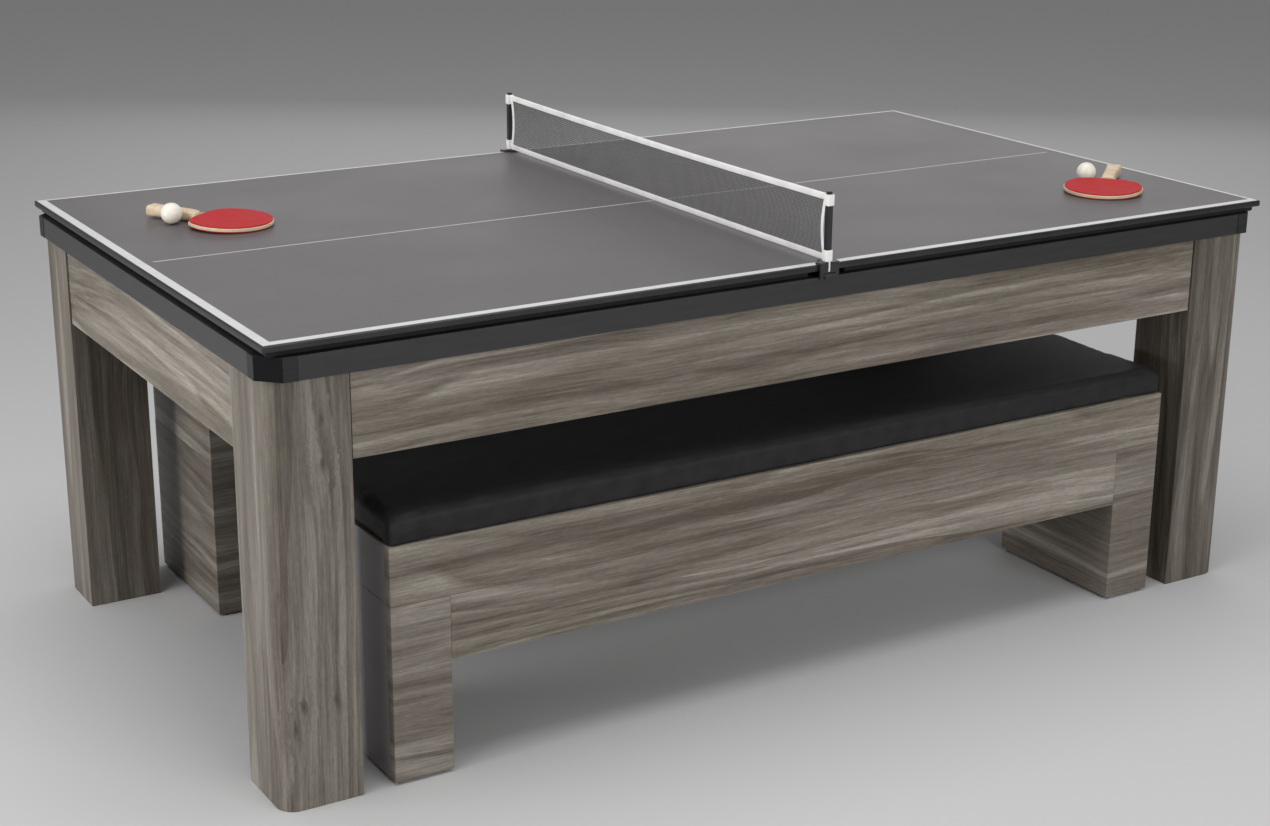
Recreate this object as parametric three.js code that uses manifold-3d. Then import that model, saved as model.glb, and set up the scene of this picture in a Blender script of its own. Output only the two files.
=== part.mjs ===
// Seven-foot games table: a pool table with a lift-off table-tennis top, its net, two benches, bats and balls.
// Millimetres, +Z up. X is the long axis, -Y the front long side, and the origin is on the floor under the middle.
import * as THREE from "three";
import { mergeVertices } from "three/addons/utils/BufferGeometryUtils.js";
import Module from "manifold-3d";

const wasm = await Module();
wasm.setup();

// ---- driving dimensions ----
const GAP = 0.3; // clearance between neighbouring pieces
const SEG = 32; // facets of a full circle

// pool table: z from the floor; `cap` and the pocket's `In` values run inwards from the frame's outer planes
const frame = { halfL: 1070, halfW: 600, top: 787, bottom: 747, chamfer: 35, cap: 60, reveal: 1 };
const leg = { side: 145, halfL: 1061, halfW: 580, wall: 15, radius: 33 };
const apron = { bottom: 596, thick: 20, setBack: 3, joint: 2, ledge: 18, ledgeHigh: 30 };
const bed = { thick: 19 };
const beam = { wide: 32, high: 60 };
const tenon = { long: 10, thick: 10, high: 34 };
const cushion = { deep: 40, noseLow: 29, noseHigh: 35, foot: 18, back: 38, cornerSlant: 1, sideSlant: 0.3 };
const pocket = { wall: 4, cornerR: 50, cornerIn: 87, sideR: 42, sideIn: 92, cornerDeep: 140, sideDeep: 118 };

// table-tennis top: z of its play surface from the floor
const top = { halfL: 1067, halfW: 599, z: 810, thick: 12, band: 2.5 };
const pad = { inset: 10, wide: 28, clampGap: 40 };

// net and its two clamps: z from the play surface, y from the post's axis with the table on the +Y side
const net = { x: -5, halfW: 588, top: 125, bottom: 5, tape: 12, mesh: 1.2, band: 2.6, sleeve: 20, cloth: 1.6 };
const strap = { halfX: 2.4, low: -14 };
const post = { side: 10, y: 597, shoulder: 126, tipSide: 7, tip: 130 };
const clamp = { halfX: 22, waist: 8, wingY: 5, out: -9, in: 19, jaw: 4, web: 5, low: -25, slot: 3, windowX: 11.8 };
const hinge = { y: -6.5, z: -20.5, pinR: 1.8, knuckleR: 3.8, halfX: 11.5 };
const tongue = { halfX: 9, tip: 21, grip: 13, under: -18.5, thick: 3 };

// bench: each is its own box about its middle, z from the floor
const bench = { halfL: 858, near: 252, far: 580, foot: 6, seam: 327, woodTop: 431, board: 210, legW: 110, wall: 15, floor: 12 };
const seat = { edge: 467, crown: 483, roll: 60 };
const glide = { r: 8, inset: 13 };

const bat = { bladeR: 82, squash: 0.97, shoulder: 48, ply: 6, rubber: 2.2, rim: 2, neckAt: 74, neckHalf: 17 };
const grip = { start: 72, end: 178, half: 13.5, flare: 3, thick: 21, lean: 1.9 };
const ball = { r: 20 };
// where the loose bats and balls lie: blade centre, handle direction in degrees
const batSpots = { left: [-808, 207.5, 127], right: [844, -383, 40] };
const ballSpots = { left: [-901, 270], right: [886, -286] };

// ---- finishes ----
const finish = {
  laminate: { color: 0x6a6056, roughness: 0.5, metalness: 0 },
  board: { color: 0xa58a67, roughness: 0.85, metalness: 0 },
  rail: { color: 0x353334, roughness: 0.45, metalness: 0 },
  gloss: { color: 0x191919, roughness: 0.2, metalness: 0 },
  felt: { color: 0x5b6166, roughness: 0.95, metalness: 0 },
  pocket: { color: 0x202020, roughness: 0.5, metalness: 0 },
  play: { color: 0x5e5b5c, roughness: 0.45, metalness: 0 },
  edge: { color: 0x1c1c1c, roughness: 0.25, metalness: 0 },
  foam: { color: 0x161616, roughness: 0.9, metalness: 0 },
  webbing: { color: 0xe4e2df, roughness: 0.8, metalness: 0 },
  clamp: { color: 0x222222, roughness: 0.35, metalness: 0 },
  leather: { color: 0x1c1c1c, roughness: 0.42, metalness: 0 },
  rubber: { color: 0xb93a3e, roughness: 0.5, metalness: 0 },
  ball: { color: 0xf3ece4, roughness: 0.4, metalness: 0 },
};

// ---- solids ----
const toSolid = (geometry) => {
  const bare = geometry.clone();
  bare.deleteAttribute("normal");
  bare.deleteAttribute("uv");
  const merged = mergeVertices(bare, 1e-4);
  return new wasm.Manifold(
    new wasm.Mesh({
      numProp: 3,
      vertProperties: new Float32Array(merged.attributes.position.array),
      triVerts: new Uint32Array(merged.index.array),
    }),
  );
};

const toGeometry = (solid) => {
  const mesh = solid.getMesh();
  const geometry = new THREE.BufferGeometry();
  geometry.setAttribute("position", new THREE.BufferAttribute(mesh.vertProperties, 3));
  geometry.setIndex(new THREE.BufferAttribute(mesh.triVerts, 1));
  return geometry;
};

const join = (...all) => toGeometry(all.map(toSolid).reduce((a, b) => a.add(b)));
const cut = (body, ...tools) => toGeometry(tools.map(toSolid).reduce((a, b) => a.subtract(b), toSolid(body)));

const box = (x0, x1, y0, y1, z0, z1) =>
  new THREE.BoxGeometry(x1 - x0, y1 - y0, z1 - z0).translate((x0 + x1) / 2, (y0 + y1) / 2, (z0 + z1) / 2);

// A plan outline raised from z0 to z1.
const prism = (points, z0, z1) => {
  const outline = new THREE.Shape(points.map(([x, y]) => new THREE.Vector2(x, y)));
  return new THREE.ExtrudeGeometry(outline, { depth: z1 - z0, bevelEnabled: false }).translate(0, 0, z0);
};

// A [y, z] outline run from x0 to x1.
const bar = (points, x0, x1) =>
  prism(points, x0, x1).applyMatrix4(new THREE.Matrix4().set(0, 0, 1, 0, 1, 0, 0, 0, 0, 1, 0, 0, 0, 0, 0, 1));

const disc = (x, y, r, z0, z1, segments = SEG) =>
  new THREE.CylinderGeometry(r, r, z1 - z0, segments).rotateX(Math.PI / 2).translate(x, y, (z0 + z1) / 2);

const pin = (x0, x1, y, z, r) =>
  new THREE.CylinderGeometry(r, r, x1 - x0, 20).rotateZ(Math.PI / 2).translate((x0 + x1) / 2, y, z);

const mirrored = (points) => [...points, ...points.map(([x, y]) => [-x, y]).reverse()];

// ---- scene graph ----
const part = new THREE.Group();
part.name = "convertible_pool_table";

const group = (parent, name, [x, y, z] = [0, 0, 0], turn = 0) => {
  const made = new THREE.Group();
  made.name = name;
  made.position.set(x, y, z);
  made.rotation.z = turn;
  parent.add(made);
  return made;
};

const hang = (parent, name, geometry, look, [x, y, z] = [0, 0, 0], turn = 0) => {
  const mesh = new THREE.Mesh(geometry, new THREE.MeshStandardMaterial(look));
  mesh.name = name;
  mesh.position.set(x, y, z);
  mesh.rotation.z = turn;
  parent.add(mesh);
  return mesh;
};

const QUARTER = Math.PI / 2;

// A side piece is drawn with its outer face on y = 0 and its inside on +Y; `turn` swings it round the table.
const FRONT_REAR = [
  ["front", 0],
  ["rear", 2 * QUARTER],
];
const LEFT_RIGHT = [
  ["right", QUARTER],
  ["left", -QUARTER],
];
const outwards = (turn, out) => [out * Math.sin(turn), -out * Math.cos(turn), 0];

// A corner piece is drawn as the rear right one; each corner has its signs and its quarter turns from there.
const CORNERS = [
  ["rear_right", 1, 1, 0],
  ["rear_left", -1, 1, 1],
  ["front_left", -1, -1, 2],
  ["front_right", 1, -1, 3],
];

// ---- pool table: carcass ----
const table = group(part, "pool_table");
const carcassTop = frame.bottom - GAP;
const bedBottom = carcassTop - bed.thick;
const ledgeTop = bedBottom - GAP;
const apronOut = { x: leg.halfL - apron.setBack, y: leg.halfW - apron.setBack };
const apronIn = { x: apronOut.x - apron.thick, y: apronOut.y - apron.thick };
const tenonInset = 22;
const tenonZ = [apron.bottom + tenonInset, bedBottom - tenonInset - tenon.high];
const sidePocketY = frame.halfW - pocket.sideIn;

// A leg about its own middle, as the rear right one stands: a panel box, open at the top, rounded outside.
const legBody = () => {
  const h = leg.side / 2;
  const arc = Array.from({ length: 9 }, (_, i) => {
    const a = (i / 8) * QUARTER;
    return [h - leg.radius + leg.radius * Math.cos(a), h - leg.radius + leg.radius * Math.sin(a)];
  });
  const outer = prism([[-h, -h], [h, -h], ...arc, [-h, h]], 0, carcassTop);
  const v = h - leg.wall;
  const hollow = box(-v, v, -v, v, leg.wall, carcassTop + 1);
  const step = h - apron.setBack - apron.thick + GAP;
  const bedSeat = box(-h - 1, step, -h - 1, step, ledgeTop, carcassTop + 1);
  const mid = h - apron.setBack - apron.thick / 2;
  const half = tenon.thick / 2 + GAP;
  const mortises = tenonZ.flatMap((z) => [
    box(-h - 1, -h + tenon.long + GAP, mid - half, mid + half, z - GAP, z + tenon.high + GAP),
    box(mid - half, mid + half, -h - 1, -h + tenon.long + GAP, z - GAP, z + tenon.high + GAP),
  ]);
  return cut(outer, hollow, bedSeat, ...mortises);
};

for (const [name, sx, sy, quarter] of CORNERS) {
  const middle = [sx * (leg.halfL - leg.side / 2), sy * (leg.halfW - leg.side / 2), 0];
  hang(table, `leg_${name}`, legBody(), finish.laminate, middle, quarter * QUARTER);
}

// An apron between legs `2 * halfRun` apart: board, batten for the bed, and two tenons at each end.
const apronBody = (halfRun) => {
  const x = halfRun - apron.joint;
  const mid = apron.thick / 2;
  const board = box(-x, x, 0, apron.thick, apron.bottom, carcassTop);
  const batten = box(-x, x, apron.thick - 1, apron.thick + apron.ledge, ledgeTop - apron.ledgeHigh, ledgeTop);
  const reach = halfRun + tenon.long - GAP;
  const tongues = tenonZ.map((z) =>
    box(-reach, reach, mid - tenon.thick / 2, mid + tenon.thick / 2, z, z + tenon.high),
  );
  return join(board, batten, ...tongues);
};

const longApron = () => {
  const room = disc(0, apronOut.y - sidePocketY, pocket.sideR + 1, ledgeTop - 60, ledgeTop + 1);
  return cut(apronBody(leg.halfL - leg.side), room);
};
for (const [name, turn] of FRONT_REAR)
  hang(table, `apron_${name}`, longApron(), finish.laminate, outwards(turn, apronOut.y), turn);
for (const [name, turn] of LEFT_RIGHT) {
  const body = apronBody(leg.halfW - leg.side);
  hang(table, `apron_${name}`, body, finish.laminate, outwards(turn, apronOut.x), turn);
}

const beamHalf = apronIn.x - apron.ledge - GAP;
const beamBody = box(-beamHalf, beamHalf, -beam.wide / 2, beam.wide / 2, ledgeTop - beam.high, ledgeTop);
hang(table, "bed_beam", beamBody, finish.board);

// ---- pool table: bed, rails, cushions and pockets ----
const cornerPocket = { x: frame.halfL - pocket.cornerIn, y: frame.halfW - pocket.cornerIn };
const pocketHole = { corner: pocket.cornerR + 0.5, side: pocket.sideR + 0.5 };

// Each corner of the bed is cut away outside its pocket, where the leg's walls stand.
const bedBody = () => {
  const holes = CORNERS.flatMap(([, sx, sy]) => {
    const [x, y] = [sx * cornerPocket.x, sy * cornerPocket.y];
    const [far, wide] = [sx * frame.halfL, sy * frame.halfW];
    return [
      disc(x, y, pocketHole.corner, bedBottom - 1, frame.top + 1),
      box(Math.min(x, far), Math.max(x, far), Math.min(y, wide), Math.max(y, wide), bedBottom - 1, carcassTop + 1),
    ];
  });
  const sides = [1, -1].map((s) => disc(0, s * sidePocketY, pocketHole.side, bedBottom - 1, frame.top + 1));
  const half = { x: apronIn.x - GAP, y: apronIn.y - GAP };
  return cut(box(-half.x, half.x, -half.y, half.y, bedBottom, carcassTop), ...holes, ...sides);
};
hang(table, "bed", bedBody(), finish.felt);

const throughRail = (x, y, r) => disc(x, y, r, frame.bottom - 1, frame.top + 1);

const railBody = (half) => {
  const x = half - frame.cap - GAP;
  const cornerX = half - pocket.cornerIn;
  const holes = [-1, 1].map((s) => throughRail(s * cornerX, pocket.cornerIn, pocketHole.corner));
  return cut(box(-x, x, frame.reveal, frame.cap, frame.bottom, frame.top), ...holes);
};
for (const [name, turn] of FRONT_REAR) {
  const body = cut(railBody(frame.halfL), throughRail(0, pocket.sideIn, pocketHole.side));
  hang(table, `rail_${name}`, body, finish.rail, outwards(turn, frame.halfW), turn);
}
for (const [name, turn] of LEFT_RIGHT)
  hang(table, `rail_${name}`, railBody(frame.halfW), finish.rail, outwards(turn, frame.halfL), turn);

// A corner cap with its outer corner at the origin, its chamfer facing out.
const capBody = () => {
  const { cap, chamfer } = frame;
  const outline = [[-cap, -cap], [0, -cap], [0, -chamfer], [-chamfer, 0], [-cap, 0]];
  const block = prism(outline, frame.bottom, frame.top);
  return cut(block, throughRail(-pocket.cornerIn, -pocket.cornerIn, pocketHole.corner));
};
for (const [name, sx, sy, quarter] of CORNERS) {
  const corner = [sx * frame.halfL, sy * frame.halfW, 0];
  hang(table, `corner_cap_${name}`, capBody(), finish.gloss, corner, quarter * QUARTER);
}

// A rail cushion from x0 to x1, its ends slanted by slantA and slantB for each millimetre of depth.
const cushionBody = (x0, x1, slantA, slantB) => {
  const back = frame.cap + GAP;
  const z = frame.bottom;
  const profile = [
    [back, z],
    [back + cushion.foot, z],
    [back + cushion.deep, z + cushion.noseLow],
    [back + cushion.deep, z + cushion.noseHigh],
    [back, z + cushion.back],
  ];
  const geometry = bar(profile, x0, x1);
  const p = geometry.attributes.position;
  for (let i = 0; i < p.count; i++) {
    const depth = p.getY(i) - back;
    p.setX(i, p.getX(i) + (p.getX(i) < (x0 + x1) / 2 ? slantA : -slantB) * depth);
  }
  return geometry;
};

const cushionEnd = pocket.cornerIn + pocket.cornerR + 1.5;
for (const [name, turn] of FRONT_REAR) {
  const long = frame.halfL - cushionEnd;
  const side = pocket.sideR + 2;
  const { cornerSlant, sideSlant } = cushion;
  const [first, second] = name === "front" ? ["left", "right"] : ["right", "left"];
  const at = outwards(turn, frame.halfW);
  hang(table, `cushion_${name}_${first}`, cushionBody(-long, -side, cornerSlant, sideSlant), finish.felt, at, turn);
  hang(table, `cushion_${name}_${second}`, cushionBody(side, long, sideSlant, cornerSlant), finish.felt, at, turn);
}
for (const [name, turn] of LEFT_RIGHT) {
  const end = frame.halfW - cushionEnd;
  const body = cushionBody(-end, end, cushion.cornerSlant, cushion.cornerSlant);
  hang(table, `cushion_${name}`, body, finish.felt, outwards(turn, frame.halfL), turn);
}

// A drop pocket about its own axis; above the bed its wall is open towards +X, the side of the play.
const cup = (r, deep) => {
  const high = frame.top - 1;
  const floor = high - deep;
  const mouth = box(0, 2 * r, -r - 1, r + 1, carcassTop, high + 1);
  const inside = disc(0, 0, r - pocket.wall, floor + pocket.wall, high + 1);
  return cut(disc(0, 0, r, floor, high), inside, mouth);
};
for (const [name, sx, sy] of CORNERS) {
  const at = [sx * cornerPocket.x, sy * cornerPocket.y, 0];
  const body = cup(pocket.cornerR, pocket.cornerDeep);
  hang(table, `pocket_${name}`, body, finish.pocket, at, Math.atan2(-sy, -sx));
}
for (const [name, turn] of FRONT_REAR) {
  const body = cup(pocket.sideR, pocket.sideDeep);
  hang(table, `pocket_${name}_side`, body, finish.pocket, outwards(turn, sidePocketY), turn + QUARTER);
}

// ---- table-tennis top: two halves, each with its edge band and the pad it rests on; z = 0 is the play surface ----
const cover = group(part, "tennis_top", [0, 0, top.z]);
const HALVES = [
  ["left", 0],
  ["right", 2 * QUARTER],
];

// A U round three sides of the left half, `inset` inside the edge and `wide` across, ending `stop` from the seam.
const halfRing = (inset, wide, z0, z1, stop) => {
  const x = -top.halfL + inset;
  const y = top.halfW - inset;
  const outside = [[x, -y], [-stop, -y]];
  const inside = [[-stop, -y + wide], [x + wide, -y + wide], [x + wide, y - wide], [-stop, y - wide]];
  return prism([...outside, ...inside, [-stop, y], [x, y]], z0, z1);
};

const seamHalf = 0.4;
const padBottom = frame.top - top.z + GAP;
for (const [name, turn] of HALVES) {
  const edge = top.band + GAP;
  const slab = box(-top.halfL + edge, -seamHalf, -top.halfW + edge, top.halfW - edge, -top.thick, 0);
  hang(cover, `tennis_top_${name}`, slab, finish.play, [0, 0, 0], turn);
  const band = halfRing(0, top.band, -top.thick, -GAP, seamHalf);
  hang(cover, `top_band_${name}`, band, finish.edge, [0, 0, 0], turn);
  const foam = halfRing(pad.inset, pad.wide, padBottom, -top.thick - GAP, pad.clampGap);
  hang(cover, `top_pad_${name}`, foam, finish.foam, [0, 0, 0], turn);
}

// ---- net, its posts, and the spring jaws that grip the top ----
const netSet = group(cover, "net_set", [net.x, 0, 0]);

// A post: winged jaw on the play surface, web down the edge with its window, slot and hinge pin, and a stepped top.
const postBody = () => {
  const s = post.side / 2;
  const t = post.tipSide / 2;
  const jawTop = GAP + clamp.jaw;
  const { halfX, waist, wingY, out } = clamp;
  const wing = [[waist, clamp.in], [waist, wingY + 6], [halfX, wingY], [halfX, wingY - 8], [halfX - 8, out]];
  const jaw = prism(mirrored(wing), GAP, jawTop);
  const web = box(-halfX + 2, halfX - 2, out, out + clamp.web, clamp.low, jawTop);
  const column = box(-s, s, -s, s, jawTop - 1, post.shoulder);
  const tip = box(-t, t, -t, t, post.shoulder - 1, post.tip);
  const slot = box(-clamp.slot, clamp.slot, out - 1, out + clamp.web - 0.5, -15, jawTop + 1);
  const room = box(-clamp.windowX, clamp.windowX, out - 1, out + clamp.web + 1, clamp.low - 1, -14.8);
  const body = join(jaw, web, column, tip);
  return join(cut(body, slot, room), pin(-13, 13, hinge.y, hinge.z, hinge.pinR));
};

// The lower jaw: knuckle on the pin, tongue into the gap under the top, pressing pad, finger lever below.
const clipBody = () => {
  const { y, z, halfX } = hinge;
  const knuckle = pin(-halfX, halfX, y, z, hinge.knuckleR);
  const blade = box(-tongue.halfX, tongue.halfX, y, tongue.tip, tongue.under, tongue.under + tongue.thick);
  const press = box(-tongue.halfX, tongue.halfX, tongue.grip, tongue.tip, tongue.under, -top.thick - 0.5);
  const lever = box(-halfX, halfX, y - 6, y - 2.5, clamp.low, z);
  return cut(join(knuckle, blade, press, lever), pin(-20, 20, y, z, hinge.pinR + GAP));
};

for (const [name, turn] of FRONT_REAR) {
  hang(netSet, `net_post_${name}`, postBody(), finish.clamp, outwards(turn, post.y), turn);
  hang(netSet, `net_clip_${name}`, clipBody(), finish.clamp, outwards(turn, post.y), turn);
}

// The net: mesh panel, four tapes, cloth sleeves over the posts and the tail strap at each end.
const netBody = () => {
  const t = net.band / 2;
  const m = net.mesh / 2;
  const mesh = box(-m, m, -net.halfW, net.halfW, net.bottom, net.top);
  const tapes = [
    box(-t, t, -net.halfW, net.halfW, net.top - net.tape, net.top),
    box(-t, t, -net.halfW, net.halfW, net.bottom, net.bottom + net.tape),
    ...[-1, 1].map((s) => box(-t, t, s * net.halfW - 5, s * net.halfW + 3, net.bottom, net.top)),
  ];
  const inner = post.side / 2 + GAP;
  const outer = inner + net.cloth;
  const sleeveZ = [net.bottom, net.top - net.sleeve];
  const ends = [-1, 1].flatMap((s) => {
    const y = s * post.y;
    const ties = sleeveZ.map((z) =>
      box(-t, t, Math.min(s * net.halfW, y), Math.max(s * net.halfW, y), z, z + net.sleeve),
    );
    const sleeves = sleeveZ.map((z) => box(-outer, outer, y - outer, y + outer, z, z + net.sleeve));
    const [a, b] = [s * (post.y + inner), s * (post.y + outer)];
    const tail = box(-strap.halfX, strap.halfX, Math.min(a, b), Math.max(a, b), strap.low, net.bottom + 1);
    return [...ties, ...sleeves, tail];
  });
  const holes = [-1, 1].map((s) =>
    box(-inner, inner, s * post.y - inner, s * post.y + inner, net.bottom - 1, net.top + 1),
  );
  return cut(join(mesh, ...tapes, ...ends), ...holes);
};
hang(netSet, "net", netBody(), finish.webbing);

// ---- benches ----
const benchHalfD = (bench.far - bench.near) / 2;

// A padded seat: square upright edges, a soft roll and a low crown.
const seatBody = () => {
  const insets = [0, 4, 12, 30, seat.roll];
  const steps = 2 * insets.length;
  const geometry = new THREE.BoxGeometry(2, 2, 1, steps, steps, 1);
  const p = geometry.attributes.position;
  const station = (u, half) => {
    const index = Math.round((1 - Math.abs(u)) * insets.length);
    return index < insets.length ? Math.sign(u) * (half - insets[index]) : 0;
  };
  const swell = (inset) => 1 - (1 - Math.min(inset / seat.roll, 1)) ** 4;
  for (let i = 0; i < p.count; i++) {
    const x = station(p.getX(i), bench.halfL);
    const y = station(p.getY(i), benchHalfD);
    const rise = (seat.crown - seat.edge) * swell(bench.halfL - Math.abs(x)) * swell(benchHalfD - Math.abs(y));
    p.setXYZ(i, x, y, p.getZ(i) > 0 ? seat.edge + rise : bench.woodTop + GAP);
  }
  return geometry;
};

const benchLeg = (s) => {
  const { halfL, legW, wall, foot, seam, board } = bench;
  const [x0, x1] = s < 0 ? [-halfL, -halfL + legW] : [halfL - legW, halfL];
  const shell = box(x0, x1, -benchHalfD, benchHalfD, foot, seam);
  const hollow = box(x0 + wall, x1 - wall, -benchHalfD + wall, benchHalfD - wall, foot + wall, seam + 1);
  const inner = s < 0 ? x1 : x0;
  const reach = tenon.long + GAP;
  const mortises = [-benchHalfD + wall / 2, benchHalfD - wall / 2].map((y) =>
    box(inner - reach, inner + reach, y - 4 - GAP, y + 4 + GAP, board + 30 - GAP, board + 80 + GAP),
  );
  const glides = [x0 + glide.inset, x1 - glide.inset].flatMap((x) =>
    [-1, 1].map((t) => disc(x, t * (benchHalfD - glide.inset), glide.r, 0, foot + 1, 20)),
  );
  return join(cut(shell, hollow, ...mortises), ...glides);
};

const benchBoard = (y) => {
  const { halfL, legW, wall, seam, board } = bench;
  const run = halfL - legW - GAP;
  const plank = box(-run, run, y, y + wall, board, seam);
  const tenons = box(-run - tenon.long, run + tenon.long, y + wall / 2 - 4, y + wall / 2 + 4, board + 30, board + 80);
  return join(plank, tenons);
};

const benchFrame = () => {
  const { halfL, wall, seam, woodTop, floor } = bench;
  const bottom = seam + GAP;
  const bin = box(-halfL + wall, halfL - wall, -benchHalfD + wall, benchHalfD - wall, bottom + floor, woodTop + 1);
  return cut(box(-halfL, halfL, -benchHalfD, benchHalfD, bottom, woodTop), bin);
};

const benchLid = () => {
  const inset = bench.wall + GAP;
  const [x, y] = [bench.halfL - inset, benchHalfD - inset];
  return box(-x, x, -y, y, bench.woodTop - 12, bench.woodTop);
};

for (const [side, turn] of FRONT_REAR) {
  const seated = group(part, `bench_${side}`, outwards(turn, (bench.near + bench.far) / 2), turn);
  hang(seated, `bench_${side}_frame`, benchFrame(), finish.laminate);
  hang(seated, `bench_${side}_lid`, benchLid(), finish.board);
  hang(seated, `bench_${side}_seat`, seatBody(), finish.leather);
  hang(seated, `bench_${side}_leg_left`, benchLeg(-1), finish.laminate);
  hang(seated, `bench_${side}_leg_right`, benchLeg(1), finish.laminate);
  hang(seated, `bench_${side}_board_outer`, benchBoard(-benchHalfD), finish.laminate);
  hang(seated, `bench_${side}_board_inner`, benchBoard(benchHalfD - bench.wall), finish.laminate);
}

// ---- bats and balls ----
// A blade's outline, `inset` inside the wood: round, with its shoulders cut straight towards the neck at +X.
const bladeOutline = (inset) => {
  const start = (bat.shoulder * Math.PI) / 180;
  const r = bat.bladeR - inset;
  const round = Array.from({ length: 57 }, (_, i) => {
    const a = start + (i / 56) * 2 * (Math.PI - start);
    return [r * Math.cos(a), r * bat.squash * Math.sin(a)];
  });
  return [...round, [bat.neckAt - inset, -bat.neckHalf], [bat.neckAt - inset, bat.neckHalf]];
};

// A bat along +X from its blade centre, its mid-plane at z = 0.
const batBody = () => {
  const half = bat.ply / 2;
  const { start, end, flare, thick } = grip;
  const blade = prism(bladeOutline(0), -half, half);
  const neck = box(bat.neckAt - 1, end - 10, -grip.half + 2, grip.half - 2, -half, half);
  const clear = box(0.8 * bat.bladeR, bat.bladeR, -bat.bladeR, bat.bladeR, -20, 20);
  const rubber = cut(prism(bladeOutline(bat.rim), -half - bat.rubber, half + bat.rubber), clear);
  const w = grip.half;
  const side = [[start, w - 1], [end - 22, w], [end, w + flare]];
  const handle = prism([...side, ...side.map(([x, y]) => [x, -y]).reverse()].reverse(), -thick / 2, thick / 2);
  return join(blade, neck, rubber, handle).rotateY((-grip.lean * Math.PI) / 180);
};

for (const [name, [x, y, degrees]] of Object.entries(batSpots)) {
  const geometry = batBody();
  geometry.computeBoundingBox();
  const lift = GAP - geometry.boundingBox.min.z;
  hang(part, `bat_${name}`, geometry, finish.rubber, [x, y, top.z + lift], (degrees * Math.PI) / 180);
}
for (const [name, [x, y]] of Object.entries(ballSpots)) {
  const geometry = new THREE.SphereGeometry(ball.r, 28, 18).rotateX(QUARTER);
  hang(part, `ball_${name}`, geometry, finish.ball, [x, y, top.z + GAP + ball.r]);
}

export default part;
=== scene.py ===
"""Looks of the convertible pool table set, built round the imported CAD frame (Blender 4.5).

Everything is in metres: X is the table's long axis, -Y its front long side, +Z up.
The hard CAD nodes stay and get bevels and materials. The seats, rail cushions, foam pads, net, edge bands,
bats and balls are replaced by finer pieces.
"""
import math

import bpy
import bmesh
from mathutils import Matrix, Vector, noise


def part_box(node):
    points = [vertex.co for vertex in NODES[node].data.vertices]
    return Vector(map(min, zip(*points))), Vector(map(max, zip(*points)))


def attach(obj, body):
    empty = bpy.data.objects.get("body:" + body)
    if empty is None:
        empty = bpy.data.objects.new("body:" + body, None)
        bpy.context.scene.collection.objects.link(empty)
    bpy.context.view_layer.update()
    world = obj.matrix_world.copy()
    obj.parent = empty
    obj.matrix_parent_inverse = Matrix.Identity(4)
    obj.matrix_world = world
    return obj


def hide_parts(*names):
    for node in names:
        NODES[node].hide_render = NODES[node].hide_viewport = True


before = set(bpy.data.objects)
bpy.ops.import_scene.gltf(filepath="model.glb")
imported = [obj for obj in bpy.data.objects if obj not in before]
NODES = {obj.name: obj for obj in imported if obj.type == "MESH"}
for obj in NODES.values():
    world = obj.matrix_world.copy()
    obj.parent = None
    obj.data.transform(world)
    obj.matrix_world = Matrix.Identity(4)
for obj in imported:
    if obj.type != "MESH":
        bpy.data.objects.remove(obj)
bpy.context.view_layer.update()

FLOOR_Z = 0.0
TABLE_TOP_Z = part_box("tennis_top_left")[1].z
TOP_HALF_X = -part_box("top_band_left")[0].x
TOP_HALF_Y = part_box("top_band_left")[1].y

# ---- camera: place, heading from +Y towards +X, pitch and roll in degrees, and lens ----
CAMERA_AT = Vector((-2.2076, -3.5792, 1.7231))
HEADING, PITCH, ROLL = 31.22, -17.91, 0.39
LENS_MM = 60.83
SENSOR_MM = 36.0

# ---- net: its plane, its two tapes and its weave ----
NET_X = -0.005
NET_HALF_Y = 0.588
NET_TOP, NET_LOW = 0.935, 0.815
NET_SAG = 0.004
TOP_TAPE, LOW_TAPE = 0.012, 0.011
MESH_PITCH = 0.0040
STRAND = 0.0008
SIDE_BOW = 0.008
POST_Y = 0.597
POST_HALF = 0.005
SLEEVE = 0.020
STRAP_Z = (0.7965, 0.806, 0.8165)

# ---- bats: blade centre and handle direction in degrees ----
BAT_SPOTS = {"left": (-0.808, 0.2075, 127.0), "right": (0.844, -0.383, 40.0)}
BAT_LEAN = 1.9
BLADE_R, BLADE_SQUASH = 0.082, 0.97
SHOULDER = 48.0
NECK_X, NECK_HALF = 0.074, 0.017
HALF_PLY, RUBBER = 0.003, 0.0022
BALL_R = 0.020
# how far a loose item stays above the top, as in the CAD
REST_GAP = 0.0003

# ---- table-tennis top: white lines ----
LINE_MARGIN = 0.0032
WIDE_LINE, NARROW_LINE = 0.0205, 0.0105
CENTRE_LINE = 0.0017


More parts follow.
